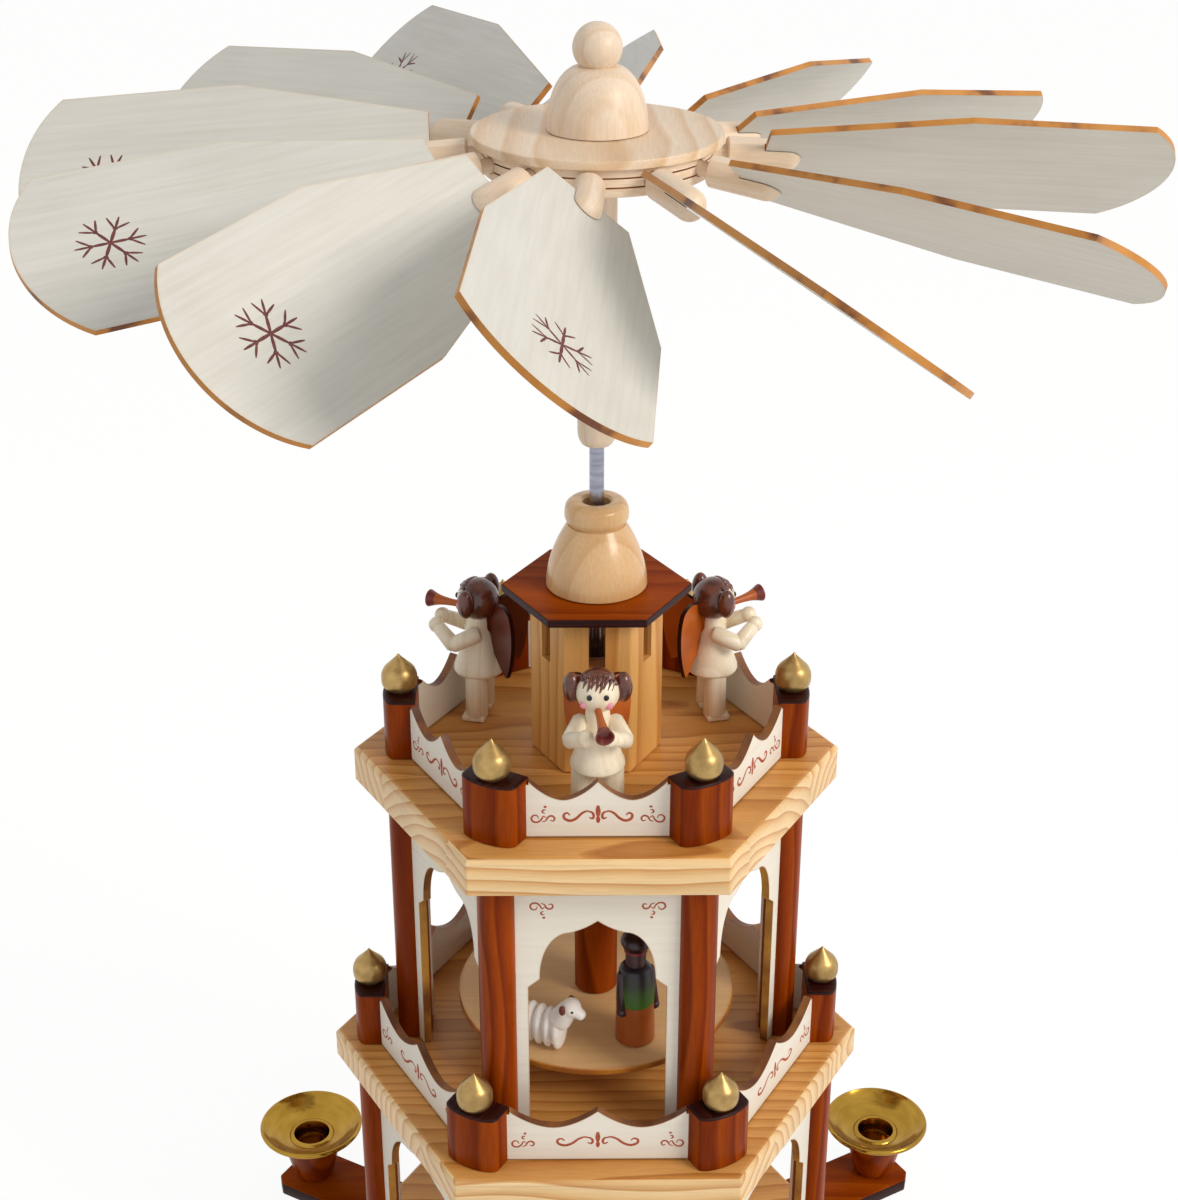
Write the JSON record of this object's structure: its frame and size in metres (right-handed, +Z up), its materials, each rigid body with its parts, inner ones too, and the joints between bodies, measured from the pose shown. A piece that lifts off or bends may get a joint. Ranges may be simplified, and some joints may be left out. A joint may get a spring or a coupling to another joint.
{
  "type": "christmas pyramid",
  "caption": "Tiered wooden candle pyramid: hexagonal decks on columns with arches and fences, angels round a lantern, turntables with figures, candle dishes and a bladed rotor.",
  "frame": {"origin": "on the shaft's axis, on the floor under the candle arms", "axes": "+Z up along the shaft, -Y to the front arch, +X to the right seen from the front"},
  "size_m": [0.3659, 0.3653, 0.5181],
  "materials": {
    "stained_wood": "reddish-brown stain under clear lacquer",
    "pine": "lacquered pine with strong grain",
    "birch": "plain birch",
    "honey_wood": "lacquered turned wood",
    "pale_ply": "pale thin plywood with burnt edges",
    "cream_wood": "clear satin",
    "white_wood": "matte white paint",
    "green_wood": "green stain",
    "brass": "polished",
    "steel": "bright drawn"
  },
  "bodies": {
    "stand": {"candle_arms": "stained_wood", "base_plate": "pine", "middle_deck": "pine", "top_deck": "pine", "lower_arcade": "stained_wood", "upper_arcade": "stained_wood", "middle_gallery": "stained_wood", "top_gallery": "stained_wood", "lantern_drum": "pine", "lantern_roof": "stained_wood", "lantern_dome": "honey_wood", "pivot_cup": "brass", "angel_front": "cream_wood", "angel_left": "cream_wood", "angel_right": "cream_wood", "candle_dish_1": "brass", "candle_dish_2": "brass", "candle_dish_3": "brass", "candle_dish_4": "brass", "candle_dish_5": "brass", "candle_dish_6": "brass"},
    "rotor": {"shaft": "steel", "hub_neck": "birch", "hub_block": "birch", "hub_cover": "birch", "hub_cap": "birch", "upper_turntable": "birch", "upper_sleeve": "stained_wood", "lower_turntable": "birch", "lower_sleeve": "stained_wood", "sheep": "white_wood", "shepherd": "green_wood"},
    "blade_01_set": {"blade_01": "pale_ply", "blade_holder_01": "birch"},
    "blade_02_set": {"blade_02": "pale_ply", "blade_holder_02": "birch"},
    "blade_03_set": {"blade_03": "pale_ply", "blade_holder_03": "birch"},
    "blade_04_set": {"blade_04": "pale_ply", "blade_holder_04": "birch"},
    "blade_05_set": {"blade_05": "pale_ply", "blade_holder_05": "birch"},
    "blade_06_set": {"blade_06": "pale_ply", "blade_holder_06": "birch"},
    "blade_07_set": {"blade_07": "pale_ply", "blade_holder_07": "birch"},
    "blade_08_set": {"blade_08": "pale_ply", "blade_holder_08": "birch"},
    "blade_09_set": {"blade_09": "pale_ply", "blade_holder_09": "birch"},
    "blade_10_set": {"blade_10": "pale_ply", "blade_holder_10": "birch"},
    "blade_11_set": {"blade_11": "pale_ply", "blade_holder_11": "birch"},
    "blade_12_set": {"blade_12": "pale_ply", "blade_holder_12": "birch"}
  },
  "joints": [
    {"name": "rotor_spin", "type": "hinge", "parent": "stand", "child": "rotor", "pos_m": [0, 0, 0.0179], "axis": [0, 0, 1], "continuous": true},
    {"name": "blade_01_pitch", "type": "hinge", "parent": "rotor", "child": "blade_01_set", "pos_m": [-0.00255, -0.03641, 0.4775], "axis": [-0.0695, -0.9938, -0.0872], "range_deg": [-20, 20]},
    {"name": "blade_02_pitch", "type": "hinge", "parent": "rotor", "child": "blade_02_set", "pos_m": [-0.02067, -0.03008, 0.4775], "axis": [-0.5609, -0.8161, -0.1392], "range_deg": [-16, 24]},
    {"name": "blade_03_pitch", "type": "hinge", "parent": "rotor", "child": "blade_03_set", "pos_m": [-0.03308, -0.01543, 0.4775], "axis": [-0.9029, -0.421, -0.0872], "range_deg": [-30, 10]},
    {"name": "blade_04_pitch", "type": "hinge", "parent": "rotor", "child": "blade_04_set", "pos_m": [-0.0365, 0.00032, 0.4775], "axis": [-0.9962, 0.0087, -0.0872], "range_deg": [-12, 28]},
    {"name": "blade_05_pitch", "type": "hinge", "parent": "rotor", "child": "blade_05_set", "pos_m": [-0.03061, 0.01988, 0.4775], "axis": [-0.8361, 0.543, -0.0785], "range_deg": [-18, 22]},
    {"name": "blade_06_pitch", "type": "hinge", "parent": "rotor", "child": "blade_06_set", "pos_m": [-0.01714, 0.03223, 0.4775], "axis": [-0.469, 0.8821, -0.0436], "range_deg": [-16, 24]},
    {"name": "blade_07_pitch", "type": "hinge", "parent": "rotor", "child": "blade_07_set", "pos_m": [-0.00032, 0.0365, 0.4775], "axis": [-0.0087, 0.9954, -0.0958], "range_deg": [-26, 14]},
    {"name": "blade_08_pitch", "type": "hinge", "parent": "rotor", "child": "blade_08_set", "pos_m": [0.01797, 0.03177, 0.4775], "axis": [0.4864, 0.8596, -0.1564], "range_deg": [-16, 24]},
    {"name": "blade_09_pitch", "type": "hinge", "parent": "rotor", "child": "blade_09_set", "pos_m": [0.03026, 0.02041, 0.4775], "axis": [0.8219, 0.5544, -0.1305], "range_deg": [-21, 19]},
    {"name": "blade_10_pitch", "type": "hinge", "parent": "rotor", "child": "blade_10_set", "pos_m": [0.03646, 0.00159, 0.4775], "axis": [0.9972, 0.0435, -0.061], "range_deg": [-21, 19]},
    {"name": "blade_11_pitch", "type": "hinge", "parent": "rotor", "child": "blade_11_set", "pos_m": [0.03129, -0.0188, 0.4775], "axis": [0.8539, -0.5131, -0.0872], "range_deg": [-28, 12]},
    {"name": "blade_12_pitch", "type": "hinge", "parent": "rotor", "child": "blade_12_set", "pos_m": [0.01629, -0.03266, 0.4775], "axis": [0.4445, -0.8915, -0.0872], "range_deg": [-24, 16]}
  ]
}
